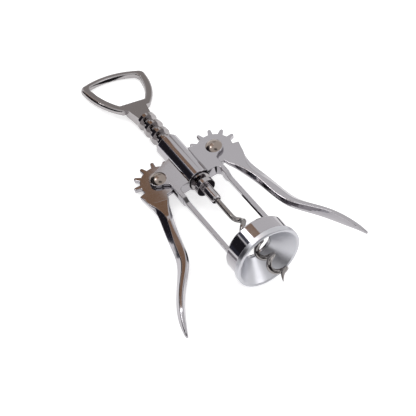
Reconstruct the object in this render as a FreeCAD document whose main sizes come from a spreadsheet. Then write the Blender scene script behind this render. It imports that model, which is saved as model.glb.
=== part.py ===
# Wing corkscrew: a geared double-lever corkscrew with a flat opener head.
# Tool frame: Y runs along the worm towards the opener head, with the bell's mouth at Y = 0.
# The wings spread along X and Z points out of the front. All sizes are in millimetres.
import FreeCAD
import Part
import math
import os
from FreeCAD import Placement, Rotation, Vector

SIZES = [
    ("lip_radius", 18.0, "outer radius of the lip that sits on the bottle"),
    ("lip_length", 3.0, "length of the lip along the tool"),
    ("lip_corner", 0.4, "bevel on the lip's outer front edge"),
    ("mouth_radius", 16.4, "inside radius of the bell at its mouth"),
    ("throat_radius", 7.6, "radius of the hole that the worm passes"),
    ("throat_depth", 10.0, "depth from the mouth to the throat"),
    ("throat_land", 1.2, "length of the throat's straight wall"),
    ("band_radius", 17.0, "outer radius of the bell's chromed band"),
    ("band_wall", 1.0, "wall of the chromed band"),
    ("back_wall", 1.75, "thickness of the band's back wall"),
    ("band_bevel", 1.3, "bevel on the back edge of the band"),
    ("liner_gap", 0.05, "radial clearance of the liner in the band"),
    ("back_hole_radius", 9.0, "radius of the hole in the band's back wall"),
    ("leg_offset", 12.7, "distance from the axis to each leg"),
    ("leg_width", 2.4, "leg size across the tool"),
    ("leg_depth", 2.8, "leg size from front to back"),
    ("leg_slope", 3.0, "length of the slope from an ear down to its leg"),
    ("tube_wall", 0.85, "wall of the guide tube"),
    ("tube_below", 11.7, "length of the guide tube below the rivets"),
    ("tube_above", 18.3, "length of the guide tube above the rivets"),
    ("rack_gap", 0.35, "radial clearance of the rack in the tube"),
    ("ear_wall", 1.8, "thickness of each ear plate"),
    ("ear_margin", 0.1, "how far an ear's straight edge stands outside its leg"),
    ("ear_rise", 7.5, "height of the ears' upper edge over the rivets"),
    ("ear_drop", 18.2, "drop of the ears' feet below the rivets"),
    ("notch_drop", 6.6, "drop from the rivets to the top of an ear's straight edge"),
    ("arch_drop", 3.6, "height of the arch between the tube and a leg"),
    ("boss_radius", 4.7, "radius of the ear around a rivet"),
    ("pivot_height", 73.2, "distance from the mouth to the rivets"),
    ("rivet_radius", 2.5, "rivet shank radius"),
    ("rivet_head_radius", 4.3, "domed head radius"),
    ("rivet_head_height", 1.9, "domed head height"),
    ("rivet_tail_radius", 3.6, "peened tail radius"),
    ("rivet_tail_height", 0.9, "peened tail height"),
    ("rivet_seat_gap", 0.02, "radial clearance of a rivet in the ears"),
    ("rivet_run_gap", 0.06, "radial running clearance of a rivet in a wing"),
    ("slot_gap", 0.25, "side clearance of a wing's head in its slot"),
    ("gear_teeth", 12, "teeth on a full turn of the wing's gear"),
    ("gear_cut", 8, "teeth that each wing really has"),
    ("gear_first", -7.0, "degrees from the arm's outward side to the first tooth"),
    ("gear_tip_radius", 13.1, "radius over the tooth tips"),
    ("gear_root_radius", 9.8, "radius at the tooth roots"),
    ("tooth_root_width", 2.9, "tooth width at the root"),
    ("tooth_tip_width", 2.0, "tooth width at the tip, where it is round"),
    ("tooth_seat", 1.2, "depth that a tooth's foot goes into the hub"),
    ("mesh_gap", 0.6, "gap between the tooth tips and the rack's root"),
    ("gear_clearance", 0.4, "gap between the tooth tips and the slot's end"),
    ("head_plate", 2.4, "thickness of a wing's toothed head"),
    ("left_open", 22.4, "degrees that the left wing stands open at rest"),
    ("right_open", 16.0, "degrees that the right wing stands open at rest"),
    ("shoulder_turn", -33.0, "degrees to the corner beside the first tooth"),
    ("root_reach", 12.5, "distance down the arm where the plate ends and the arm starts"),
    ("root_shift", 2.45, "sideways place of the arm's root"),
    ("root_width", 10.9, "arm width at its root"),
    ("web_reach", 16.0, "distance from rivet to the web"),
    ("web_shift", 1.45, "sideways place of the web"),
    ("web_width", 8.7, "arm width at the web"),
    ("web_depth", 2.9, "arm depth at the web"),
    ("waist_reach", 21.5, "distance from rivet to waist"),
    ("waist_shift", 0.6, "sideways place of the waist"),
    ("waist_width", 7.3, "arm width at the waist"),
    ("waist_depth", 4.0, "arm depth at the waist"),
    ("shaft_reach", 37.0, "distance from rivet to mid arm"),
    ("shaft_shift", -1.15, "sideways place of mid arm"),
    ("shaft_width", 6.7, "arm width at mid arm"),
    ("shaft_depth", 4.2, "arm depth at mid arm"),
    ("elbow_reach", 52.0, "distance from rivet to elbow"),
    ("elbow_shift", -2.7, "sideways place of the elbow"),
    ("elbow_width", 6.3, "arm width at the elbow"),
    ("elbow_depth", 4.3, "arm depth at the elbow"),
    ("wrist_reach", 62.0, "distance from rivet to the start of the paddle"),
    ("wrist_shift", -0.5, "sideways place of the wrist"),
    ("wrist_width", 5.2, "arm width at the wrist"),
    ("wrist_depth", 5.0, "arm depth at the wrist"),
    ("paddle_reach", 73.0, "distance from rivet to the middle of the paddle"),
    ("paddle_shift", 2.3, "sideways place of the paddle"),
    ("paddle_width", 4.5, "paddle thickness"),
    ("paddle_depth", 6.1, "paddle size from front to back"),
    ("toe_reach", 85.0, "distance from rivet to the paddle's end"),
    ("toe_shift", 3.6, "sideways place of the paddle's end"),
    ("toe_width", 3.7, "thickness at the paddle's end"),
    ("toe_depth", 4.4, "size of the paddle's end from front to back"),
    ("point_reach", 94.8, "distance from rivet to the wing's tip"),
    ("point_shift", 3.1, "sideways place of the tip"),
    ("point_width", 1.3, "thickness at the tip"),
    ("point_depth", 1.8, "size of the tip from front to back"),
    ("ring_count", 9, "rings on the rack"),
    ("ring_radius", 5.4, "outer radius of the rack's rings"),
    ("ring_root_radius", 3.1, "radius of the rack between its rings"),
    ("ring_crest", 1.8, "ring width at its crest"),
    ("ring_foot", 3.3, "ring width at its root"),
    ("rings_below", 2, "rings below the rivets' height"),
    ("neck_gap", 0.3, "plain length between the last ring and the neck"),
    ("neck_length", 6.9, "length of the neck"),
    ("neck_low_front", 3.9, "half width of the neck's front face at the rings"),
    ("neck_low_back", 4.6, "half width of the neck's back face at the rings"),
    ("neck_high_front", 5.8, "half width of the neck's front face at the head"),
    ("neck_high_back", 5.9, "half width of the neck's back face at the head"),
    ("neck_back_drop", 2.5, "distance from the axis to the neck's back face"),
    ("head_thickness", 3.4, "thickness of the opener head"),
    ("head_round", 1.2, "rounding of the head's outer edges"),
    ("hole_round", 0.7, "rounding of the edges of the head's opening"),
    ("head_length", 31.2, "length of the head beyond the neck"),
    ("head_half_width", 19.3, "half width of the head"),
    ("wide_rise", 24.1, "distance from the neck to the widest place"),
    ("head_corner_half", 16.6, "half width where the far edge starts"),
    ("corner_rise", 28.3, "distance from the neck to the far corners"),
    ("head_flank_half", 17.2, "half width at the middle of the side"),
    ("flank_rise", 14.1, "distance from the neck to the middle of the side"),
    ("head_root_half", 8.6, "half width where the head leaves the neck"),
    ("root_rise", 1.7, "distance from the neck to the head's root"),
    ("rim_far", 3.0, "width of the head's far rim"),
    ("rim_side", 4.6, "width of the head's side rim at its middle"),
    ("hole_rise", 6.2, "distance from the neck to the opening's straight edge"),
    ("hole_near_half", 7.6, "half length of the opening's straight edge"),
    ("collar_plain", 1.65, "plain length of the rack below its lowest ring"),
    ("spigot_radius", 1.95, "radius of the rack's lower spigot"),
    ("spigot_length", 6.9, "length of the spigot below the rack's collar face"),
    ("washer_radius", 5.3, "radius of the stop washer"),
    ("washer_length", 2.6, "thickness of the stop washer"),
    ("washer_gap", 0.06, "running clearance of the washer on the spigot"),
    ("washer_play", 0.1, "end play of the stop washer"),
    ("ferrule_radius", 2.75, "outer radius of the ferrule"),
    ("ferrule_grip", 5.8, "length of the ferrule below the spigot"),
    ("ferrule_bevel", 0.8, "bevel on the ferrule's lower edge"),
    ("ferrule_gap", 0.02, "radial clearance of the ferrule on spigot and shank"),
    ("pin_radius", 0.7, "cross pin radius"),
    ("pin_rise", 2.2, "distance from the spigot's end to the cross pin"),
    ("wire_radius", 1.35, "radius of the worm's wire"),
    ("worm_radius", 2.9, "radius of the worm's centre line"),
    ("worm_pitch", 10.45, "rise of the worm in one turn"),
    ("shank_seat", 3.5, "length of the shank above the collar face"),
    ("seat_gap", 0.5, "gap over the end of the shank in the rack"),
    ("shank_length", 12.4, "straight length of the shank below the ferrule"),
    ("worm_turns", 3.4167, "turns from the shank to the ground point"),
    ("worm_phase", 150.0, "degrees from the front to the side that the wire leaves towards"),
    ("worm_spread", 0.22, "turns in which the wire reaches its full radius"),
    ("worm_lead", 3.2, "extra drop of the wire while it spreads"),
    ("worm_stretch", 5.7, "extra drop of the wire in its first turn"),
    ("point_length", 5.5, "length of the worm's ground point along the wire"),
    ("point_drop", 3.2, "how far the ground point bends towards the mouth"),
    ("point_radius", 0.15, "radius at the end of the ground point"),
]

# Sizes that follow from the others.
DERIVED = [
    ("band_end", "throat_depth + throat_land + liner_gap + back_wall", "back of the bell"),
    ("tube_radius", "ring_radius + rack_gap + tube_wall", "outer radius of the guide tube"),
    ("tube_low", "pivot_height - tube_below", "lower end of the guide tube"),
    ("tube_top", "pivot_height + tube_above", "upper end of the guide tube"),
    ("ear_edge", "leg_offset + leg_width / 2 + ear_margin", "ears' straight outer edge"),
    ("ear_top", "pivot_height + ear_rise", "upper end of the ears at the tube"),
    ("ear_foot", "pivot_height - ear_drop", "lower end of the ears on the legs"),
    ("ear_notch", "pivot_height - notch_drop", "top of an ear's straight edge"),
    ("root_depth", "head_plate", "arm depth at its root"),
    ("pivot_offset", "gear_tip_radius + mesh_gap + ring_root_radius", "rivet's place"),
    ("pitch_radius", "(gear_tip_radius + gear_root_radius) / 2 + mesh_gap", "rolling radius"),
    ("ring_pitch", "2 * pi * pitch_radius / gear_teeth", "rise from ring to ring"),
    ("mesh_angle", "mod(180 - gear_first - (left_open + right_open) / 2; 360 / gear_teeth)",
     "degrees from the meshing line to the next tooth"),
    ("ring_low", "pivot_height + pitch_radius * mesh_angle * pi / 180 - ring_pitch * (rings_below + 0.5)",
     "height of the lowest ring, which puts the teeth between the rings"),
    ("collar_face", "ring_low - ring_foot / 2 - collar_plain", "face that the washer seats on"),
    ("spigot_end", "collar_face - spigot_length", "lower end of the spigot"),
    ("ferrule_low", "spigot_end - ferrule_grip", "lower end of the ferrule"),
    ("pin_height", "spigot_end + pin_rise", "height of the cross pin"),
    ("worm_top", "ferrule_low - shank_length", "height where the shank starts to turn"),
    ("neck_start", "ring_low + ring_pitch * (ring_count - 1) + ring_foot / 2 + neck_gap",
     "start of the neck"),
    ("neck_end", "neck_start + neck_length", "end of the neck"),
    ("head_far", "neck_end + head_length", "far edge of the head"),
    ("head_wide_at", "neck_end + wide_rise", "height of the head's widest place"),
    ("head_corner_at", "neck_end + corner_rise", "height of the far corners"),
    ("head_flank_at", "neck_end + flank_rise", "height of the middle of the side"),
    ("head_root_at", "neck_end + root_rise", "height of the head's root"),
    ("hole_near", "neck_end + hole_rise", "height of the opening's straight edge"),
]

doc = FreeCAD.newDocument("WingCorkscrew")
sheet = doc.addObject("Spreadsheet::Sheet", "Sizes")
for row, (alias, value, note) in enumerate(SIZES, 1):
    sheet.set("A%d" % row, alias)
    sheet.set("B%d" % row, str(value))
    sheet.set("C%d" % row, note)
    sheet.setAlias("B%d" % row, alias)
for row, (alias, rule, note) in enumerate(DERIVED, len(SIZES) + 1):
    sheet.set("A%d" % row, alias)
    sheet.set("B%d" % row, "=" + rule)
    sheet.set("C%d" % row, note)
    sheet.setAlias("B%d" % row, alias)
    doc.recompute()
doc.recompute()


def size(alias):
    """The value of one driving dimension."""
    return float(sheet.get(alias))


UP = Rotation()
ALONG_Y = Rotation(Vector(1, 0, 0), -90)
X = Vector(1, 0, 0)
Y = Vector(0, 1, 0)
Z = Vector(0, 0, 1)


def primitive(kind, name, dims, base=("0", "0", "0"), turn=UP):
    """A Part primitive whose sizes and place are bound to the sheet."""
    item = doc.addObject("Part::" + kind, name)
    item.Placement = Placement(Vector(0, 0, 0), turn)
    for key, rule in dims.items():
        item.setExpression(key, rule)
    for key, rule in zip("xyz", base):
        item.setExpression("Placement.Base." + key, rule)
    return item


def round_bar(name, radius, low, high, turn=ALONG_Y):
    """A cylinder on the tool's axis from one height to another."""
    dims = {"Radius": radius, "Height": "(%s) - (%s)" % (high, low)}
    return primitive("Cylinder", name, dims, ("0", low, "0"), turn)


def cross_bar(name, radius, low, high, x_rule, y_rule):
    """A cylinder from back to front through a given place."""
    dims = {"Radius": radius, "Height": "(%s) - (%s)" % (high, low)}
    return primitive("Cylinder", name, dims, (x_rule, y_rule, low))


def fuse(name, items):
    item = doc.addObject("Part::MultiFuse", name)
    item.Shapes = items
    item.Refine = True
    return item


def cut(name, base, tool):
    item = doc.addObject("Part::Cut", name)
    item.Base = base
    item.Tool = tool
    return item


def built(name, shape):
    """A sub-part or a blank that Part's own functions shape."""
    item = doc.addObject("Part::Feature", name)
    item.Shape = shape
    return item


def slab(wire, low, high):
    """A flat outline made solid from one Z to another."""
    face = Part.Face(wire)
    face.translate(Vector(0, 0, low))
    return face.extrude(Vector(0, 0, high - low))


def segment(a, b):
    return Part.makeLine(a, b)


def arc(a, b, c):
    return Part.Arc(a, b, c).toShape()


def through(points):
    """A smooth edge through points."""
    curve = Part.BSplineCurve()
    curve.interpolate(points)
    return curve.toShape()


SLOT_HALF = size("head_plate") / 2 + size("slot_gap")
EAR_FACE = SLOT_HALF + size("ear_wall")
PITCH_ANGLE = 360.0 / size("gear_teeth")


# Frame: one casting with the bell's band, two legs, the guide tube and the ears.
def ear_outline(side):
    """Outline of one side's ear plates, from the tube out to the rivet."""
    across = size("pivot_offset")
    along = size("pivot_height")
    inner = size("leg_offset") - size("leg_width") / 2
    tube = size("tube_radius") * 0.5
    low = size("tube_low")
    crown = Vector(side * (inner + size("tube_radius")) / 2, low, 0)
    spring = low - size("arch_drop")
    corners = [
        Vector(side * tube, size("ear_top"), 0),
        Vector(side * size("tube_radius"), size("ear_top"), 0),
        Vector(side * across, along + size("boss_radius") * 0.98, 0),
        Vector(side * (across - 0.1), along - size("boss_radius") * 0.98, 0),
        Vector(side * size("ear_edge"), size("ear_notch"), 0),
        Vector(side * size("ear_edge"), size("ear_foot"), 0),
        Vector(side * inner, size("ear_foot"), 0),
        Vector(side * inner, spring, 0),
    ]
    edges = [segment(a, b) for a, b in zip(corners, corners[1:])]
    foot = Vector(side * size("tube_radius") * 0.9, low, 0)
    bulge = (crown + corners[-1]) * 0.5 + Vector(side * 1.0, 0.9, 0)
    edges.append(arc(corners[-1], bulge, crown))
    edges.append(segment(crown, foot))
    last = Vector(side * tube, low, 0)
    edges.append(segment(foot, last))
    edges.append(segment(last, corners[0]))
    return Part.Wire(edges)


def leg_slope(side):
    """The wedge that leads from an ear's faces down to its leg."""
    top = size("ear_foot")
    low = top - size("leg_slope")
    half = size("leg_depth") / 2
    corners = [Vector(0, low, half), Vector(0, top, EAR_FACE), Vector(0, top + 1, EAR_FACE),
               Vector(0, top + 1, -EAR_FACE), Vector(0, top, -EAR_FACE), Vector(0, low, -half)]
    face = Part.Face(Part.makePolygon(corners + corners[:1]))
    face.translate(Vector(side * size("leg_offset") - size("leg_width") / 2, 0, 0))
    return face.extrude(Vector(size("leg_width"), 0, 0))


def make_frame():
    solids = []
    solids.append(round_bar("TubeWall", "Sizes.tube_radius", "Sizes.tube_low", "Sizes.tube_top"))
    solids.append(round_bar("Band", "Sizes.band_radius", "Sizes.lip_length",
                            "Sizes.band_end - Sizes.band_bevel"))
    solids.append(primitive(
        "Cone", "BandBevel",
        {"Radius1": "Sizes.band_radius", "Radius2": "Sizes.band_radius - Sizes.band_bevel",
         "Height": "Sizes.band_bevel"},
        ("0", "Sizes.band_end - Sizes.band_bevel", "0"), ALONG_Y))
    face = "(Sizes.head_plate / 2 + Sizes.slot_gap + Sizes.ear_wall)"
    for name, side, sign in (("Left", -1, "-"), ("Right", 1, "")):
        solids.append(built(name + "Ear", slab(ear_outline(side), -EAR_FACE, EAR_FACE)))
        solids.append(cross_bar(name + "Boss", "Sizes.boss_radius", "-" + face, face,
                                sign + "Sizes.pivot_offset", "Sizes.pivot_height"))
        solids.append(primitive(
            "Box", name + "Leg",
            {"Length": "Sizes.leg_width", "Height": "Sizes.leg_depth",
             "Width": "Sizes.ear_foot + 1 - Sizes.band_end + Sizes.band_bevel"},
            (sign + "Sizes.leg_offset - Sizes.leg_width / 2",
             "Sizes.band_end - Sizes.band_bevel", "-Sizes.leg_depth / 2")))
        solids.append(built(name + "Slope", leg_slope(side)))
    body = fuse("FrameSolid", solids)
    hollows = [
        round_bar("RackBore", "Sizes.ring_radius + Sizes.rack_gap",
                  "Sizes.tube_low - 1", "Sizes.tube_top + 1"),
        round_bar("BandBore", "Sizes.band_radius - Sizes.band_wall",
                  "Sizes.lip_length - 1", "Sizes.throat_depth + Sizes.throat_land + Sizes.liner_gap"),
        round_bar("BackHole", "Sizes.back_hole_radius", "Sizes.lip_length", "Sizes.band_end + 1"),
    ]
    slot = "(Sizes.head_plate / 2 + Sizes.slot_gap)"
    for name, sign in (("Left", "-"), ("Right", "")):
        place = (sign + "Sizes.pivot_offset", "Sizes.pivot_height")
        hollows.append(cross_bar(name + "Slot", "Sizes.gear_tip_radius + Sizes.gear_clearance",
                                 "-" + slot, slot, *place))
        hollows.append(cross_bar(name + "RivetHole", "Sizes.rivet_radius + Sizes.rivet_seat_gap",
                                 "-" + face + " - 1", face + " + 1", *place))
    return cut("Frame", body, fuse("FrameHollows", hollows))


# Bell liner: the pale ring and funnel that sit on the bottle's neck.
def make_liner():
    lip = primitive("Cylinder", "Lip",
                    {"Radius": "Sizes.lip_radius", "Height": "Sizes.lip_length - Sizes.lip_corner"},
                    ("0", "Sizes.lip_corner", "0"), ALONG_Y)
    corner = primitive("Cone", "LipCorner",
                       {"Radius1": "Sizes.lip_radius - Sizes.lip_corner",
                        "Radius2": "Sizes.lip_radius", "Height": "Sizes.lip_corner"},
                       ("0", "0", "0"), ALONG_Y)
    end = "Sizes.throat_depth + Sizes.throat_land"
    plug = round_bar("Plug", "Sizes.band_radius - Sizes.band_wall - Sizes.liner_gap",
                     "Sizes.lip_length / 2", end)
    funnel = primitive("Cone", "Funnel",
                       {"Radius1": "Sizes.mouth_radius", "Radius2": "Sizes.throat_radius",
                        "Height": "Sizes.throat_depth"},
                       ("0", "0", "0"), ALONG_Y)
    throat = round_bar("Throat", "Sizes.throat_radius", "Sizes.throat_depth - 0.5", end + " + 1")
    return cut("BellLiner", fuse("LinerSolid", [lip, corner, plug]),
               fuse("LinerHollow", [funnel, throat]))


# Wings: a toothed plate round the rivet, an arm that deepens, an elbow and a paddle.
# Each station's last number is the share of the arm's full side slopes that it has.
STATIONS = (("root", 0.0), ("web", 0.35), ("waist", 1.0), ("shaft", 1.0), ("elbow", 1.0),
            ("wrist", 1.0), ("paddle", 1.0), ("toe", 1.0), ("point", 1.0))
FRONT_OUTER = 0.40
FRONT_INNER = 0.18
BACK_DRAFT = 0.08
RIDGE_DROP = 0.05


def arm_centre(place):
    """Middle of one of the arm's sections, the rivet at the origin and the tip towards -Y."""
    return Vector(size(place + "_shift"), -size(place + "_reach"), 0)


def arm_section(index):
    """One section of the arm: a flat front, a long slope outside and a short one inside."""
    place, share = STATIONS[index]
    before = arm_centre(STATIONS[max(index - 1, 0)][0])
    after = arm_centre(STATIONS[min(index + 1, len(STATIONS) - 1)][0])
    along = (after - before).normalize()
    if index == 0:
        along = Vector(0, -1, 0)
    across = Vector(-along.y, along.x, 0)
    wide = size(place + "_width")
    deep = size(place + "_depth")
    rules = [
        (-0.5 + FRONT_INNER * share, 0.5),
        (0.5 - FRONT_OUTER * share, 0.5),
        (0.5, -RIDGE_DROP * share),
        (0.5 - BACK_DRAFT * share, -0.5),
        (-0.5 + BACK_DRAFT * share, -0.5),
        (-0.5, 0.0),
    ]
    corners = [arm_centre(place) + across * (wide * u) + Z * (deep * v) for u, v in rules]
    return Part.makePolygon(corners + corners[:1])


def arm_solid():
    """The arm, drawn through its sections from the plate to the tip."""
    return Part.makeLoft([arm_section(k) for k in range(len(STATIONS))], True, False)


def plate_outline():
    """Outline of the plate that widens from the arm's root to the gear's shoulder."""
    turn = math.radians(size("shoulder_turn"))
    shoulder = Vector(math.cos(turn), math.sin(turn), 0) * size("gear_tip_radius")
    root = arm_centre("root")
    web = arm_centre("web")
    outer = root + X * (size("root_width") / 2)
    inner = root - X * (size("root_width") / 2)
    beyond = web + X * (size("web_width") / 2)
    bend = (shoulder + outer) * 0.5 + Vector(-1, -1, 0).normalize() * (shoulder - outer).Length * 0.05
    hub = Vector(0, 0, 0)
    deep = root + (web - root) * 0.3
    edges = [
        segment(hub, shoulder),
        arc(shoulder, bend, outer),
        segment(outer, deep + X * (beyond.x - web.x - 1)),
        segment(deep + X * (beyond.x - web.x - 1), deep - X * (beyond.x - web.x - 1)),
        segment(deep - X * (beyond.x - web.x - 1), inner),
        segment(inner, Vector(inner.x, -size("gear_root_radius") * 0.8, 0)),
        segment(Vector(inner.x, -size("gear_root_radius") * 0.8, 0), hub),
    ]
    return Part.Wire(edges)


def tooth(angle):
    """One tooth with a round tip, standing at an angle on the root circle."""
    root = size("gear_root_radius") - size("tooth_seat")
    tip_half = size("tooth_tip_width") / 2
    shoulder = size("gear_tip_radius") - tip_half
    root_half = size("tooth_root_width") / 2
    corners = [
        Vector(root, -root_half, 0),
        Vector(shoulder, -tip_half, 0),
        Vector(size("gear_tip_radius"), 0, 0),
        Vector(shoulder, tip_half, 0),
        Vector(root, root_half, 0),
    ]
    edges = [
        segment(corners[0], corners[1]),
        arc(corners[1], corners[2], corners[3]),
        segment(corners[3], corners[4]),
        segment(corners[4], corners[0]),
    ]
    half = size("head_plate") / 2
    solid = slab(Part.Wire(edges), -half, half)
    solid.rotate(Vector(0, 0, 0), Z, angle)
    return solid


def wing_solid():
    """The right wing, closed, with its rivet at the origin."""
    half = size("head_plate") / 2
    plate = slab(plate_outline(), -half, half)
    hub = Part.makeCylinder(size("gear_root_radius"), 2 * half, Vector(0, 0, -half))
    first = size("gear_first")
    teeth = [tooth(first + PITCH_ANGLE * k) for k in range(int(size("gear_cut")))]
    wing = hub.multiFuse([plate, arm_solid()] + teeth).removeSplitter()
    bore = Part.makeCylinder(size("rivet_radius") + size("rivet_run_gap"), 2 * half + 2,
                             Vector(0, 0, -half - 1))
    return wing.cut(bore)


def make_wing(name, side, opened):
    wing = wing_solid()
    if side < 0:
        wing = wing.mirror(Vector(0, 0, 0), X)
    wing.rotate(Vector(0, 0, 0), Z, side * opened)
    wing.translate(Vector(side * size("pivot_offset"), size("pivot_height"), 0))
    return built(name, wing)


# Rivets: domed in front, peened behind.
def make_rivet(name, sign):
    face = "(Sizes.head_plate / 2 + Sizes.slot_gap + Sizes.ear_wall)"
    place = (sign + "Sizes.pivot_offset", "Sizes.pivot_height")
    shank = cross_bar(name + "Shank", "Sizes.rivet_radius", "-" + face, face, *place)
    ball = "(Sizes.rivet_head_radius ^ 2 + Sizes.rivet_head_height ^ 2) / (2 * Sizes.rivet_head_height)"
    dome = primitive("Sphere", name + "Ball", {"Radius": ball},
                     place + (face + " + Sizes.rivet_head_height - " + ball,))
    above = cross_bar(name + "Above", "Sizes.rivet_head_radius + 1", face, face + " + 5", *place)
    head = doc.addObject("Part::Common", name + "Dome")
    head.Base = dome
    head.Tool = above
    tail = primitive("Cone", name + "Tail",
                     {"Radius1": "Sizes.rivet_tail_radius - Sizes.rivet_tail_height / 2",
                      "Radius2": "Sizes.rivet_tail_radius", "Height": "Sizes.rivet_tail_height"},
                     place + ("-" + face + " - Sizes.rivet_tail_height",))
    return fuse(name, [shank, head, tail])


# Handle: the opener head, its neck, the ringed rack and the spigot below it, one casting.
def ring_heights():
    """Heights of the rings."""
    return [size("ring_low") + size("ring_pitch") * k for k in range(int(size("ring_count")))]


def rack_solid():
    """The rack as one turned outline."""
    root = size("ring_root_radius")
    points = [Vector(0, size("spigot_end"), 0),
              Vector(size("spigot_radius"), size("spigot_end"), 0),
              Vector(size("spigot_radius"), size("collar_face"), 0),
              Vector(root, size("collar_face"), 0)]
    for height in ring_heights():
        points.append(Vector(root, height - size("ring_foot") / 2, 0))
        points.append(Vector(size("ring_radius"), height - size("ring_crest") / 2, 0))
        points.append(Vector(size("ring_radius"), height + size("ring_crest") / 2, 0))
        points.append(Vector(root, height + size("ring_foot") / 2, 0))
    points.append(Vector(root, size("neck_start") + 1, 0))
    points.append(Vector(0, size("neck_start") + 1, 0))
    points.append(points[0])
    face = Part.Face(Part.makePolygon(points))
    return face.revolve(Vector(0, 0, 0), Y, 360)


def closed_outline(right, left, far):
    """Arcs over the far end, round the corners and down both sides, closed by a straight edge."""
    edges = [
        arc(left[0], far, right[0]),
        arc(right[0], right[1], right[2]),
        arc(right[2], right[3], right[4]),
        segment(right[4], left[4]),
        arc(left[4], left[3], left[2]),
        arc(left[2], left[1], left[0]),
    ]
    return Part.Wire(edges)


def head_outline(inset, height):
    """Outer outline of the head, drawn in by an inset and lifted to a height."""
    sides = []
    for side in (1, -1):
        corner = Vector(side * (size("head_corner_half") - inset * 0.7),
                        size("head_corner_at") - inset * 0.7, height)
        wide = Vector(side * (size("head_half_width") - inset), size("head_wide_at"), height)
        flank = Vector(side * (size("head_flank_half") - inset), size("head_flank_at"), height)
        root = Vector(side * (size("head_root_half") - inset), size("head_root_at"), height)
        elbow = (corner + wide) * 0.5 + Vector(side * 0.75, 0.75, 0)
        sides.append([corner, elbow, wide, flank, root])
    return closed_outline(*sides, Vector(0, size("head_far") - inset, height))


def hole_outline(outset, height):
    """Outline of the head's opening, widened by an outset and lifted to a height."""
    far = size("rim_far") - outset
    rim = size("rim_side") - outset
    sides = []
    for side in (1, -1):
        corner = Vector(side * (size("head_corner_half") - far),
                        size("head_corner_at") - far * 0.75, height)
        wide = Vector(side * (size("head_half_width") - rim),
                      size("head_wide_at") - far * 0.9, height)
        flank = Vector(side * (size("head_flank_half") - rim), size("head_flank_at"), height)
        near = Vector(side * (size("hole_near_half") + outset * 0.5),
                      size("hole_near") - outset, height)
        elbow = (corner + wide) * 0.5 + Vector(side * 0.7, 0.6, 0)
        sides.append([corner, elbow, wide, flank, near])
    return closed_outline(*sides, Vector(0, size("head_far") - far, height))


ROUND_STEPS = ((1.0, 0.0), (0.29, 0.29), (0.0, 1.0))


def head_solid():
    """The flat opener head with its opening, on a neck that narrows to the rack."""
    half = size("head_thickness") / 2
    lower = [(size("head_round") * a, -half + size("head_round") * b) for a, b in ROUND_STEPS]
    upper = [(inset, -height) for inset, height in reversed(lower)]
    plate = Part.makeLoft([head_outline(*level) for level in lower + upper], True, True)
    lower = [(size("hole_round") * a, -half + size("hole_round") * b) for a, b in ROUND_STEPS]
    upper = [(outset, -height) for outset, height in reversed(lower)]
    hole = Part.makeLoft([hole_outline(*level) for level in lower + upper], True, True)
    ends = slab(hole_outline(size("hole_round"), 0), half - 0.001, half + 1)
    hole = hole.fuse(ends).fuse(ends.mirror(Vector(0, 0, 0), Z))
    plate = plate.cut(hole)
    ends = []
    for height, stage in ((size("neck_start"), "low"), (size("head_root_at"), "high")):
        front = size("neck_%s_front" % stage)
        back = size("neck_%s_back" % stage)
        corners = [Vector(-front, height, half), Vector(front, height, half),
                   Vector(back, height, -size("neck_back_drop")),
                   Vector(-back, height, -size("neck_back_drop"))]
        ends.append(Part.makePolygon(corners + corners[:1]))
    return plate.fuse(Part.makeLoft(ends, True, True))


def pin_cutter():
    """The cross pin's hole, as a solid through ferrule, spigot and shank."""
    reach = size("ferrule_radius") + 1
    return Part.makeCylinder(size("pin_radius") + size("ferrule_gap"), 2 * reach,
                             Vector(-reach, size("pin_height"), 0), X)


def make_handle():
    shape = head_solid().fuse(rack_solid()).removeSplitter()
    depth = size("spigot_length") + size("shank_seat") + size("seat_gap") + 1
    blank = Part.makeCylinder(size("wire_radius") + size("ferrule_gap"), depth,
                              Vector(0, size("spigot_end") - 1, 0), Y)
    return built("Handle", shape.cut(blank).cut(pin_cutter()))


# Stop washer: it slides with the rack and stays still while the handle turns.
def make_stop_washer():
    top = "Sizes.collar_face - Sizes.washer_play"
    low = top + " - Sizes.washer_length"
    disc = round_bar("WasherDisc", "Sizes.washer_radius", low, top)
    hole = round_bar("WasherHole", "Sizes.spigot_radius + Sizes.washer_gap",
                     low + " - 1", top + " + 1")
    return cut("StopWasher", disc, hole)


# Ferrule: it grips the spigot and the worm's shank, with a pin across all three.
def make_ferrule():
    top = "Sizes.collar_face - 2 * Sizes.washer_play - Sizes.washer_length"
    sleeve = round_bar("Sleeve", "Sizes.ferrule_radius",
                       "Sizes.ferrule_low + Sizes.ferrule_bevel", top)
    bevel = primitive("Cone", "SleeveBevel",
                      {"Radius1": "Sizes.ferrule_radius - Sizes.ferrule_bevel",
                       "Radius2": "Sizes.ferrule_radius", "Height": "Sizes.ferrule_bevel"},
                      ("0", "Sizes.ferrule_low", "0"), ALONG_Y)
    socket = round_bar("Socket", "Sizes.spigot_radius + Sizes.ferrule_gap",
                       "Sizes.spigot_end - Sizes.ferrule_gap", top + " + 1")
    throat = round_bar("ShankHole", "Sizes.wire_radius + Sizes.ferrule_gap",
                       "Sizes.ferrule_low - 1", "Sizes.spigot_end + 1")
    pin = primitive("Cylinder", "PinHole",
                    {"Radius": "Sizes.pin_radius + Sizes.ferrule_gap",
                     "Height": "2 * Sizes.ferrule_radius + 2"},
                    ("-Sizes.ferrule_radius - 1", "Sizes.pin_height", "0"),
                    Rotation(Y, 90))
    return cut("Ferrule", fuse("FerruleSolid", [sleeve, bevel]),
               fuse("FerruleHollow", [socket, throat, pin]))


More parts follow.
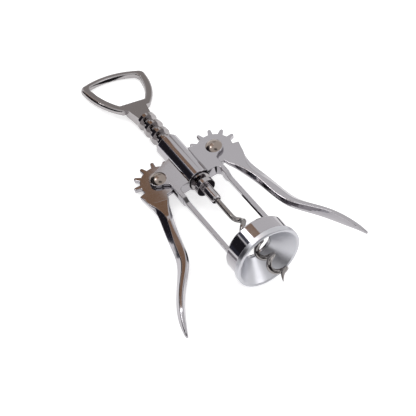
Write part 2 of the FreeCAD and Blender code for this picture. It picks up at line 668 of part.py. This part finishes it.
def make_pin():
    stock = primitive("Cylinder", "PinStock",
                      {"Radius": "Sizes.pin_radius", "Height": "2 * Sizes.ferrule_radius + 2"},
                      ("-Sizes.ferrule_radius - 1", "Sizes.pin_height", "0"), Rotation(Y, 90))
    sleeve = round_bar("PinLimit", "Sizes.ferrule_radius", "Sizes.pin_height - Sizes.pin_radius - 1",
                       "Sizes.pin_height + Sizes.pin_radius + 1")
    pin = doc.addObject("Part::Common", "WormPin")
    pin.Base = stock
    pin.Tool = sleeve
    return pin


# Worm: a right-handed wire that leaves its shank, turns and ends in a ground point.
def worm_point(turn):
    """A place on the wire's centre line, counted in turns from the shank."""
    spread = min(turn / size("worm_spread"), 1.0)
    ease = 3 * spread ** 2 - 2 * spread ** 3
    first = min(turn, 1.0)
    stretch = 3 * first ** 2 - 2 * first ** 3
    radius = size("worm_radius") * ease
    angle = math.radians(size("worm_phase")) - 2 * math.pi * turn
    height = (size("worm_top") - size("worm_pitch") * turn - size("worm_lead") * (2 * spread - ease)
              - size("worm_stretch") * stretch)
    return Vector(radius * math.sin(angle), height, radius * math.cos(angle))


def worm_tangent(turn):
    step = 0.0005
    return (worm_point(turn + step) - worm_point(max(turn - step, 0))).normalize()


def biarc(a, way_a, b, way_b):
    """Two arcs that leave a along way_a and reach b along way_b."""
    chord = b - a
    total = way_a + way_b
    square = 2 * (1 - way_a.dot(way_b))
    linear = 2 * chord.dot(total)
    length = (math.sqrt(linear ** 2 + 4 * square * chord.dot(chord)) - linear) / (2 * square)
    corner_a = a + way_a * length
    corner_b = b - way_b * length
    joint = (corner_a + corner_b) * 0.5
    edges = []
    for start, corner, end in ((a, corner_a, joint), (joint, corner_b, b)):
        middle = (start + end) * 0.5
        half = (end - start).Length / 2
        rise = (corner - middle).Length
        sag = half * math.tan(math.atan2(rise, half) / 2)
        bow = middle + (corner - middle).normalize() * sag
        edges.append(arc(start, bow, end))
    return edges


def make_worm():
    turns = size("worm_turns")
    seat = Vector(0, size("collar_face") + size("shank_seat"), 0)
    start = Vector(0, size("worm_top"), 0)
    steps = int(round(turns * 8))
    stations = [turns * k / steps for k in range(steps + 1)]
    edges = [segment(seat, start)]
    for a, b in zip(stations, stations[1:]):
        way_a = worm_tangent(a) if a else Vector(0, -1, 0)
        edges += biarc(worm_point(a), way_a, worm_point(b), worm_tangent(b))
    path = Part.Wire(edges)
    circle = Part.Wire(Part.makeCircle(size("wire_radius"), seat, Vector(0, -1, 0)))
    wire = path.makePipeShell([circle], True, False)
    end = worm_point(turns)
    way = worm_tangent(turns)
    goal = end + way * size("point_length") + Vector(0, -size("point_drop"), 0)
    bend = Part.BSplineCurve()
    bend.interpolate([end, goal], Tangents=[way, way + Vector(0, -1, 0)],
                     TangentFlags=[True, True])
    leave = bend.tangent(bend.LastParameter)[0]
    small = Part.Wire(Part.makeCircle(size("point_radius"), goal, leave))
    large = Part.Wire(Part.makeCircle(size("wire_radius"), end, way))
    tip = Part.Wire(bend.toShape()).makePipeShell([large, small], True, False)
    gap = 1000.0
    for a in range(0, steps * 3):
        for b in range(a + 16, steps * 3 + 1):
            span = (worm_point(turns * a / steps / 3) - worm_point(turns * b / steps / 3)).Length
            gap = min(gap, span - 2 * size("wire_radius"))
    print("worm: least gap between turns %.2f mm" % gap)
    return built("Worm", wire.fuse(tip).cut(pin_cutter()))


# How the tool lies: on the bell's lip, the opener head and the left wing's paddle.
def lying_slope():
    """Degrees that the axis falls from the bell to the head."""
    drop = size("lip_radius") - size("head_thickness") / 2
    run = size("head_far") - size("lip_length")
    return math.degrees(math.atan2(drop, run))


def lying_roll(wing, slope):
    """Degrees that the frame leans over before the left wing touches the floor."""
    fall = math.tan(math.radians(slope))
    rolls = []
    for place in wing.tessellate(0.05)[0]:
        drop = size("lip_radius") + (size("lip_length") - place.y) * fall
        arm = math.hypot(place.x, place.z)
        if arm > drop:
            rolls.append(math.asin(drop / arm) + math.atan2(place.z, -place.x))
    return math.degrees(min(rolls))


left_wing = make_wing("LeftWing", -1, size("left_open"))
subparts = [
    ("frame", make_frame(), "frame"),
    ("bell_liner", make_liner(), "frame"),
    ("left_rivet", make_rivet("LeftRivet", "-"), "frame"),
    ("right_rivet", make_rivet("RightRivet", ""), "frame"),
    ("left_wing", left_wing, "frame"),
    ("right_wing", make_wing("RightWing", 1, size("right_open")), "frame"),
    ("stop_washer", make_stop_washer(), "handle"),
    ("handle", make_handle(), "handle"),
    ("ferrule", make_ferrule(), "handle"),
    ("worm_pin", make_pin(), "handle"),
    ("worm", make_worm(), "handle"),
]
doc.recompute()

slope = lying_slope()
roll = lying_roll(left_wing.Shape, slope)
lift = (size("lip_radius") * math.cos(math.radians(slope))
        + size("lip_length") * math.sin(math.radians(slope)))
handle_place = Placement(Vector(0, 0, lift), Rotation(X, -slope))
frame_place = handle_place.multiply(Placement(Vector(0, 0, 0), Rotation(Y, -roll)))

# The row's origin is on the floor, under the middle of the whole tool.
corners = []
for label, item, group in subparts:
    item.Label = label
    lying = frame_place if group == "frame" else handle_place
    item.Placement = lying.multiply(item.Placement)
    corners += item.Shape.tessellate(0.05)[0]
middle_x = (min(p.x for p in corners) + max(p.x for p in corners)) / 2
middle_y = (min(p.y for p in corners) + max(p.y for p in corners)) / 2
centre = Placement(Vector(-middle_x, -middle_y, 0), Rotation())
for label, item, group in subparts:
    item.Placement = centre.multiply(item.Placement)
doc.recompute()

for item in doc.Objects:
    if "Invalid" in item.State or "Error" in item.State:
        raise RuntimeError("%s is not valid" % item.Name)
    shape = getattr(item, "Shape", None)
    if shape is not None and not shape.isValid():
        raise RuntimeError("%s has a bad shape" % item.Name)

os.makedirs("parts", exist_ok=True)
for label, item, group in subparts:
    item.Shape.exportStep("parts/%s.step" % label)
    print("%-12s %d solid, %.0f mm3" % (label, len(item.Shape.Solids), item.Shape.Volume))
print("slope %.4f roll %.4f lift %.4f pitch radius %.4f origin %.4f %.4f"
      % (slope, roll, lift, size("pitch_radius"), middle_x, middle_y))
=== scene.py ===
# Wing corkscrew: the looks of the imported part, in metres, in the part's own frame.
# The tool lies along Y, with its opener head at +Y and its bell at -Y, on a floor at height 0.
import math

import bmesh
import bpy
from mathutils import Matrix, Quaternion, Vector


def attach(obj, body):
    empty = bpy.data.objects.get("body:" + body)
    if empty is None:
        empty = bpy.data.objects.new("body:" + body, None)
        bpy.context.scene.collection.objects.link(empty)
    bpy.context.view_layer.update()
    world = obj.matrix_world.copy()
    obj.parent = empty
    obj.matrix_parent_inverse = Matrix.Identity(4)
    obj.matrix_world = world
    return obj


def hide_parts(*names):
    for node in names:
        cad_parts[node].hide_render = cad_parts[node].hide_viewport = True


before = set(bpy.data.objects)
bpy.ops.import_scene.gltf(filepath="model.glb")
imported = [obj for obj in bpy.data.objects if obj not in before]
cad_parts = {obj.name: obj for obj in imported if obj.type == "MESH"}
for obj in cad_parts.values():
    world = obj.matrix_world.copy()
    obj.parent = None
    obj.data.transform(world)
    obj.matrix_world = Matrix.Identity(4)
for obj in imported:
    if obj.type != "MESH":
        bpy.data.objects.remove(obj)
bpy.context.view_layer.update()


# Frame: one zinc die casting that joins the bell's band, two legs, the ears and the guide tube.
# It is polished and plated with bright chrome over nickel, and the polishing leaves every outer
# edge a little rounded.
def shade(code):
    """A sRGB hex colour as the linear colour that a shader takes."""
    parts = [int(code[i:i + 2], 16) / 255 for i in (1, 3, 5)]
    linear = [p / 12.92 if p <= 0.04045 else ((p + 0.055) / 1.055) ** 2.4 for p in parts]
    return (*linear, 1.0)


def blank(owner):
    """The emptied node tree of a material or a world."""
    owner.use_nodes = True
    owner.node_tree.nodes.clear()
    return owner.node_tree


def node(tree, kind, links=(), **settings):
    """Adds a node. settings are its properties or sockets, and links are (socket, source)."""
    item = tree.nodes.new(kind)
    for key, value in settings.items():
        if hasattr(item, key):
            setattr(item, key, value)
        else:
            item.inputs[key.replace("_", " ")].default_value = value
    for socket, source in links:
        tree.links.new(source, item.inputs[socket])
    return item


MM = 0.001
WAVE_SIZE = 5.0  # mm from one wave of the polishing wheel to the next
WAVE_HEIGHT = 0.012  # mm
WAVE_DETAIL = 2.0
WAVE_FALL = 0.45
HAZE_SIZE = 11.0  # mm across a patch where the metal is a little duller or sharper
HAZE_DETAIL = 4.0
HAZE_LEAST, HAZE_MOST = 0.6, 1.4  # times the metal's own roughness


def metal(name, colour, roughness):
    """Bare or plated metal, with slow waves from the polishing wheel and patches of faint haze."""
    skin = bpy.data.materials.new(name)
    tree = blank(skin)
    where = node(tree, "ShaderNodeTexCoord").outputs["Object"]
    waves = node(tree, "ShaderNodeTexNoise", [("Vector", where)],
                 Scale=1 / (WAVE_SIZE * MM), Detail=WAVE_DETAIL, Roughness=WAVE_FALL)
    lumps = node(tree, "ShaderNodeBump", [("Height", waves.outputs["Fac"])],
                 Strength=1.0, Distance=WAVE_HEIGHT * MM)
    haze = node(tree, "ShaderNodeTexNoise", [("Vector", where)],
                Scale=1 / (HAZE_SIZE * MM), Detail=HAZE_DETAIL)
    rough = node(tree, "ShaderNodeMapRange", [("Value", haze.outputs["Fac"])],
                 To_Min=roughness * HAZE_LEAST, To_Max=roughness * HAZE_MOST)
    gloss = node(tree, "ShaderNodeBsdfPrincipled",
                 [("Normal", lumps.outputs["Normal"]), ("Roughness", rough.outputs["Result"])],
                 Metallic=1.0, Base_Color=shade(colour))
    node(tree, "ShaderNodeOutputMaterial", [("Surface", gloss.outputs["BSDF"])])
    return skin


WELD = 0.002  # mm within which points become one
FLAT = 1  # degrees that two faces may bend and still be joined
CORNER = 30  # degrees from which a bend is an edge
EDGE_STEPS = 3


def placed(name, shape):
    """A finished bmesh as an object of the scene."""
    mesh = bpy.data.meshes.new(name)
    shape.to_mesh(mesh)
    shape.free()
    item = bpy.data.objects.new(name, mesh)
    bpy.context.collection.objects.link(item)
    return item


def dress(name, body, material, edge=0.0, corner=CORNER):
    """Stands a merged copy in for a CAD node. Bends over corner degrees are its edges, and they
    are rounded over edge millimetres."""
    shape = bmesh.new()
    shape.from_mesh(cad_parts[name].data)
    bmesh.ops.remove_doubles(shape, verts=shape.verts, dist=WELD * MM)
    bmesh.ops.dissolve_limit(shape, angle_limit=math.radians(FLAT), verts=shape.verts,
                             edges=shape.edges)
    for face in shape.faces:
        face.smooth = True
    for line in shape.edges:
        line.smooth = line.calc_face_angle(0) < math.radians(corner)
    item = placed(name + "_finish", shape)
    if edge:
        bevel = item.modifiers.new("polished_edges", "BEVEL")
        bevel.width = edge * MM
        bevel.segments = EDGE_STEPS
        bevel.use_clamp_overlap = False
        bevel.loop_slide = False
        bevel.limit_method = "ANGLE"
        bevel.angle_limit = math.radians(corner)
    # Large faces settle the shading, so a flat stays flat beside its rounded edge.
    level = item.modifiers.new("flat_faces", "WEIGHTED_NORMAL")
    level.keep_sharp = True
    item.data.materials.append(material)
    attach(item, body)
    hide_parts(name)


# Bright chrome is a cool mirror with hard black and white bands, which waver a little.
CHROME = "#A9A6AA"
CHROME_ROUGHNESS = 0.09
CASTING_EDGE = 0.25  # mm
chrome = metal("bright_chrome_plate", CHROME, CHROME_ROUGHNESS)
dress("frame", "frame", chrome, CASTING_EDGE)


# Bell liner: an aluminium funnel, turned and pressed into the band, with a wider lip that sits on
# the bottle. It was left satin, so it looks pale, with soft streaks and no sharp reflections.
SATIN = "#BEBEC3"
SATIN_ROUGHNESS = 0.34
LINER_EDGE = 0.3  # mm
satin = metal("satin_aluminium", SATIN, SATIN_ROUGHNESS)
dress("bell_liner", "frame", satin, LINER_EDGE)


# Rivets: steel, domed at both ends and headed over the ears. Each is the hinge of one wing.
# Their polished nickel plate is duller and warmer than the chrome round them.
NICKEL = "#91867F"
NICKEL_ROUGHNESS = 0.20
nickel = metal("polished_nickel_plate", NICKEL, NICKEL_ROUGHNESS)
for name in ("left_rivet", "right_rivet"):
    dress(name, "frame", nickel)


# Wings: two cast levers, each with a gear at its rivet and a paddle for the hand. They are
# polished and chromed like the frame, with softer edges.
WING_EDGE = 0.4  # mm
for name in ("left_wing", "right_wing"):
    dress(name, name, chrome, WING_EDGE)


# Handle: the bottle opener's head, its neck and the round rack are one casting, with the rack's
# rings left crisp. Its chrome is smokier than the frame's, so its flats look pewter grey.
SMOKED = "#A09C9D"
HANDLE_CORNER = 60  # degrees, so that the head's rounded side shades as one
handle_chrome = metal("smoked_chrome_plate", SMOKED, CHROME_ROUGHNESS)
dress("handle", "handle", handle_chrome, corner=HANDLE_CORNER)


# Stop washer, ferrule and cross pin: turned steel. The washer rides under the rack, and the pin
# holds the worm's shank in the ferrule. The plate on them is bright, with narrow dark rings.
TURNED = "#A5A1A3"
TURNED_ROUGHNESS = 0.09
FITTING_EDGE = 0.2  # mm
turned = metal("turned_plated_steel", TURNED, TURNED_ROUGHNESS)
dress("stop_washer", "slider", turned, FITTING_EDGE)
dress("ferrule", "handle", turned, FITTING_EDGE)
dress("worm_pin", "handle", turned)


# Worm: spring wire wound into a helix, with a ground point. Its thin nickel plate over dark
# steel is the sharpest mirror of the tool, with fine lines along the wire.
WIRE = "#8A8685"
WIRE_ROUGHNESS = 0.07
wire = metal("plated_spring_wire", WIRE, WIRE_ROUGHNESS)
dress("worm", "handle", wire)


# Studio: white paper under the tool and white all round. The camera and the metal see plain
# white, and the paper keeps a light shadow where the tool rests.
WHITE = "#FFFFFF"
WORLD_LEVEL = 0.75  # the light that the white room itself throws on things
FLOOR_SIDE = 6.0
FLOOR_COLOUR = "#F4F4F4"
FLOOR_GLOW = 0.50  # lifts the paper to white where nothing shades it


def by_ray(tree, cast, seen):
    """The first shader where light is cast on other things, and the second where a camera,
    glossy or transmission ray looks."""
    path = node(tree, "ShaderNodeLightPath").outputs
    look = node(tree, "ShaderNodeMath", [(0, path["Is Camera Ray"]), (1, path["Is Glossy Ray"])],
                operation="ADD")
    look = node(tree, "ShaderNodeMath", [(0, look.outputs[0]), (1, path["Is Transmission Ray"])],
                operation="ADD", use_clamp=True)
    mix = node(tree, "ShaderNodeMixShader",
               [(0, look.outputs[0]), (1, cast.outputs[0]), (2, seen.outputs[0])])
    return mix.outputs[0]


world = bpy.data.worlds.new("studio")
bpy.context.scene.world = world
tree = blank(world)
soft = node(tree, "ShaderNodeBackground", Color=shade(WHITE), Strength=WORLD_LEVEL)
white = node(tree, "ShaderNodeBackground", Color=shade(WHITE), Strength=1.0)
node(tree, "ShaderNodeOutputWorld", [("Surface", by_ray(tree, soft, white))])

shape = bmesh.new()
bmesh.ops.create_grid(shape, x_segments=1, y_segments=1, size=FLOOR_SIDE / 2)
floor = placed("floor", shape)

# White paper: matt, and lit from within just enough to meet the background without a line.
paper = bpy.data.materials.new("white_paper")
tree = blank(paper)
matt = node(tree, "ShaderNodeBsdfDiffuse", Color=shade(FLOOR_COLOUR))
glow = node(tree, "ShaderNodeEmission", Color=shade(WHITE), Strength=FLOOR_GLOW)
both = node(tree, "ShaderNodeAddShader", [(0, matt.outputs[0]), (1, glow.outputs[0])])
node(tree, "ShaderNodeOutputMaterial", [("Surface", by_ray(tree, matt, both))])
floor.data.materials.append(paper)


# Lamps: a broad soft box high over the head end is the main light. A small one on the left puts
# a spark on the bell and the worm, and a weak one beyond the bell's right lifts the shadows.
def soft_box(name, place, target, side, watts):
    """A square lamp of some metres a side, turned to a point of the set."""
    lamp = bpy.data.lights.new(name, "AREA")
    lamp.shape = "SQUARE"
    lamp.size = side
    lamp.energy = watts
    item = bpy.data.objects.new(name, lamp)
    item.location = place
    item.rotation_mode = "QUATERNION"
    item.rotation_quaternion = (Vector(target) - Vector(place)).to_track_quat("-Z", "Y")
    bpy.context.collection.objects.link(item)


soft_box("key_box", place=(-0.25, 0.45, 0.65), target=(0, 0, 0), side=0.35, watts=1.3)
soft_box("spark_box", place=(-0.223, 0.156, 0.266), target=(0, -0.067, 0.02), side=0.08,
         watts=0.12)
soft_box("fill_box", place=(0.45, -0.5, 0.4), target=(0, -0.05, 0), side=0.3, watts=0.5)


# Cards stand round the set, as they do when chrome is photographed, and give the plated faces
# their brown and grey bands. Only the metal sees them. Each is set by where it stands as seen
# from a point on the tool: the bearing from straight up the tool, the height and the distance.
BROWN_CARD = "#A07E62"
GREY_CARD = "#BAB5B2"
BLUE_CARD = "#4E5260"
LENS_CARD = "#3C3836"
MIDDLE = (0, 0, 0.02)
LEFT_EAR = (-0.036, 0, 0.02)
HEAD_END = (0, 0.1, 0.01)


def along(bearing, height=0):
    """The way to look for a bearing from +Y towards +X and a height above the floor, in degrees."""
    a = math.radians(bearing)
    e = math.radians(height)
    return Vector((math.sin(a) * math.cos(e), math.cos(a) * math.cos(e), math.sin(e)))


def stand(name, shape, finish, colour):
    """Puts up a shape that only the metal sees, matt and of one colour, whatever light it gets."""
    item = placed(name, shape)
    matt = bpy.data.materials.new(name + finish)
    tree = blank(matt)
    plain = node(tree, "ShaderNodeEmission", Color=shade(colour), Strength=1.0)
    node(tree, "ShaderNodeOutputMaterial", [("Surface", plain.outputs[0])])
    item.data.materials.append(matt)
    item.visible_camera = False
    item.visible_diffuse = False
    item.visible_transmission = False
    item.visible_shadow = False


def card(name, seen_from, bearing, height, distance, wide, high, colour, shift=(0, 0)):
    """A flat card that faces a point on the tool, moved sideways and up its own face by shift."""
    way = along(bearing, height)
    turn = (-way).to_track_quat("Z", "Y")
    shape = bmesh.new()
    bmesh.ops.create_grid(shape, x_segments=1, y_segments=1, size=0.5)
    bmesh.ops.scale(shape, vec=(wide, high, 1), verts=shape.verts)
    bmesh.ops.translate(shape, vec=(*shift, 0), verts=shape.verts)
    place = Matrix.Translation(Vector(seen_from) + way * distance) @ turn.to_matrix().to_4x4()
    bmesh.ops.transform(shape, matrix=place, verts=shape.verts)
    stand(name, shape, "_paper", colour)


card("brown_card", LEFT_EAR, bearing=0, height=47, distance=0.27, wide=0.125, high=0.13,
     colour=BROWN_CARD, shift=(-0.040, 0.048))
card("low_brown_card", LEFT_EAR, bearing=0, height=47, distance=0.27, wide=0.147, high=0.055,
     colour=BROWN_CARD, shift=(-0.029, -0.0445))
card("grey_card", HEAD_END, bearing=37, height=37, distance=0.30, wide=0.12, high=0.12,
     colour=GREY_CARD)
card("back_card", MIDDLE, bearing=-50, height=30, distance=0.40, wide=0.20, high=0.06,
     colour=BLUE_CARD)
card("lens_card", MIDDLE, bearing=-150, height=62, distance=0.60, wide=0.36, high=0.20,
     colour=LENS_CARD)


# Cloths and mats: black felt hung round the left and the front of the set gives the metal its black
# bands. The dark blue and black mats laid on the paper at the left, inside the opener and between
# the legs are painted shadow: they stand where the tool shades the paper, and the metal shows them
# as its dark undersides.
SHEET_STEPS = 16
MAT_HEIGHT = 0.0004
# The black is for the front cloth and for two mats of painted shadow; the blue is for the mat of
# painted shadow at the left.
BLACK_FELT_AND_SHADOW = "#2C2A2E"
COOL_FELT = "#2C2A30"
PAINTED_SHADOW_BLUE = "#3A3A46"


def strip(name, first, last, near, far, colour):
    """A dark strip from one bearing to another round the origin: a felt cloth when hung, and a mat
    of painted shadow when laid on the paper. near and far are its two borders, each as (radius,
    height)."""
    way = along(first)
    shape = bmesh.new()
    ends = [shape.verts.new((radius * way.x, radius * way.y, height))
            for radius, height in (near, far)]
    border = shape.edges.new(ends)
    bmesh.ops.spin(shape, geom=[*ends, border], cent=(0, 0, 0), axis=(0, 0, -1),
                   angle=math.radians(last - first), steps=SHEET_STEPS)
    stand(name, shape, "_felt_and_shadow", colour)


def round_shadow_mat(name, middle, radius, colour):
    """A round dark sheet laid on the paper: a mat of painted shadow that only the metal sees."""
    shape = bmesh.new()
    bmesh.ops.create_circle(shape, cap_ends=True, segments=SHEET_STEPS, radius=radius)
    bmesh.ops.translate(shape, vec=(*middle, MAT_HEIGHT), verts=shape.verts)
    stand(name, shape, "_felt_and_shadow", colour)


strip("left_cloth", -130, -20, near=(0.11, 0), far=(0.11, 0.072), colour=COOL_FELT)
strip("front_cloth", -215, -130, near=(0.24, 0), far=(0.24, 0.10), colour=BLACK_FELT_AND_SHADOW)
# Painted shadow: dark mats laid where the tool shades the paper, seen only in the metal's
# reflections.
strip("left_shadow_mat", -122, -20, near=(0.050, MAT_HEIGHT), far=(0.11, MAT_HEIGHT), colour=PAINTED_SHADOW_BLUE)
round_shadow_mat("head_shadow_mat", middle=(0.0046, 0.0695), radius=0.011, colour=BLACK_FELT_AND_SHADOW)
round_shadow_mat("middle_shadow_mat", middle=(0.012, -0.034), radius=0.017, colour=BLACK_FELT_AND_SHADOW)


# Camera: a telephoto above the left of the bell, looking down at about 47 degrees.
# The tool lies askew in the picture, so the camera leans too.
CAMERA_BEARING = -135.606
CAMERA_HEIGHT = 47.074
CAMERA_LEAN = 15.963
CAMERA_PLACE = (-0.378515, -0.408211, 0.591147)
PICTURE_WIDTH = 416
FOCAL_PIXELS = 1602.91
SENSOR_WIDTH = 36.0  # mm
NEAREST, FARTHEST = 0.01, 10.0

to_camera = along(CAMERA_BEARING, CAMERA_HEIGHT)
lens = bpy.data.cameras.new("photo_lens")
lens.sensor_width = SENSOR_WIDTH
lens.lens = FOCAL_PIXELS / PICTURE_WIDTH * SENSOR_WIDTH
lens.clip_start = NEAREST
lens.clip_end = FARTHEST
camera = bpy.data.objects.new("camera", lens)
camera.location = CAMERA_PLACE
camera.rotation_mode = "QUATERNION"
camera.rotation_quaternion = ((-to_camera).to_track_quat("-Z", "Y")
                              @ Quaternion((0, 0, 1), math.radians(CAMERA_LEAN)))
bpy.context.collection.objects.link(camera)
bpy.context.scene.camera = camera
bpy.context.scene.view_settings.view_transform = "Standard"
